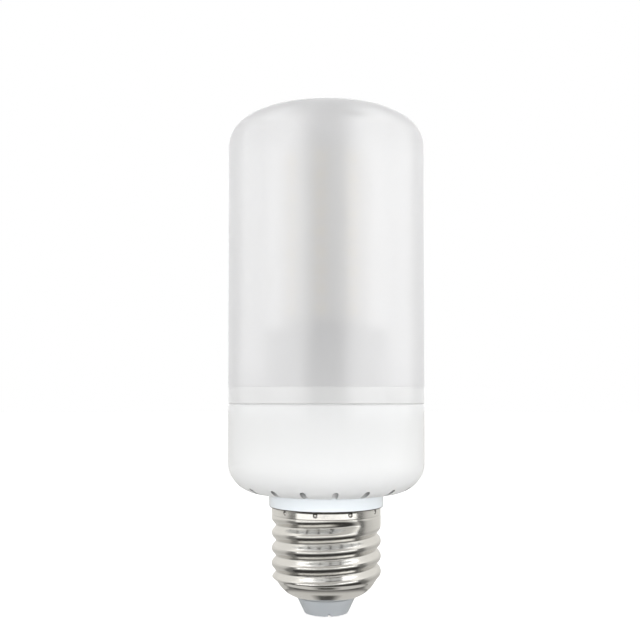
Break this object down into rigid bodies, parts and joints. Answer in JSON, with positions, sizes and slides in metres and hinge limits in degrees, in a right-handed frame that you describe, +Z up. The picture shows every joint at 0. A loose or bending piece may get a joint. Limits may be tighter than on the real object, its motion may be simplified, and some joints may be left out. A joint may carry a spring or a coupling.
{
  "type": "flame effect led bulb",
  "caption": "Straight-sided light bulb with a tall frosted cover over a slim lit column, a white vented base cup and a large metal screw cap.",
  "frame": {"origin": "The tip of the centre contact, on the bulb's axis, which is also the lowest point.", "axes": "+Z runs up the axis from the cap to the crown of the cover. -Y is the front, the side that the picture shows. +X is to the right as seen from the front. -Z is the way the bulb goes into its holder."},
  "size_m": [0.0472, 0.0472, 0.1195],
  "materials": {
    "frosted_plastic": "milky satin plastic that lets light through",
    "white_plastic": "smooth white moulded plastic",
    "cap_nickel": "bright nickel on thin rolled brass",
    "cap_insulator": "pale grey moulded insulator",
    "contact_metal": "bright pressed metal",
    "former_plastic": "plain off-white moulded plastic",
    "flexible_sheet": "white lacquered flexible circuit sheet",
    "light_chip": "amber phosphor over a white chip body",
    "circuit_board": "white lacquered glass-fibre board",
    "screw_steel": "plain plated steel",
    "capacitor_sleeve": "dark shrink sleeve",
    "ferrite": "dark pressed ferrite",
    "copper_wire": "lacquered copper wire",
    "chip_body": "black moulded chip package",
    "resistor_body": "lacquered resistor body",
    "live_insulation": "soft red insulation",
    "neutral_insulation": "soft black insulation"
  },
  "bodies": {
    "root": {"frosted_cover": "frosted_plastic", "deck_ring": "white_plastic", "base_cup": "white_plastic", "screw_shell": "cap_nickel", "cap_insulator": "cap_insulator", "centre_contact": "contact_metal", "led_former": "former_plastic", "flex_board": "flexible_sheet", "top_board": "circuit_board", "top_lights": "light_chip", "deck_screws": "screw_steel", "driver_board": "circuit_board", "smoothing_capacitor": "capacitor_sleeve", "choke_core": "ferrite", "choke_winding": "copper_wire", "bridge_rectifier": "chip_body", "driver_chip": "chip_body", "flame_controller": "chip_body", "fusible_resistor": "resistor_body", "tilt_switch": "screw_steel", "live_wire": "live_insulation", "neutral_wire": "neutral_insulation", "side_light_row_1": "light_chip", "side_light_row_2": "light_chip", "side_light_row_3": "light_chip", "side_light_row_4": "light_chip", "side_light_row_5": "light_chip", "side_light_row_6": "light_chip", "side_light_row_7": "light_chip", "side_light_row_8": "light_chip", "side_light_row_9": "light_chip"}
  },
  "joints": []
}
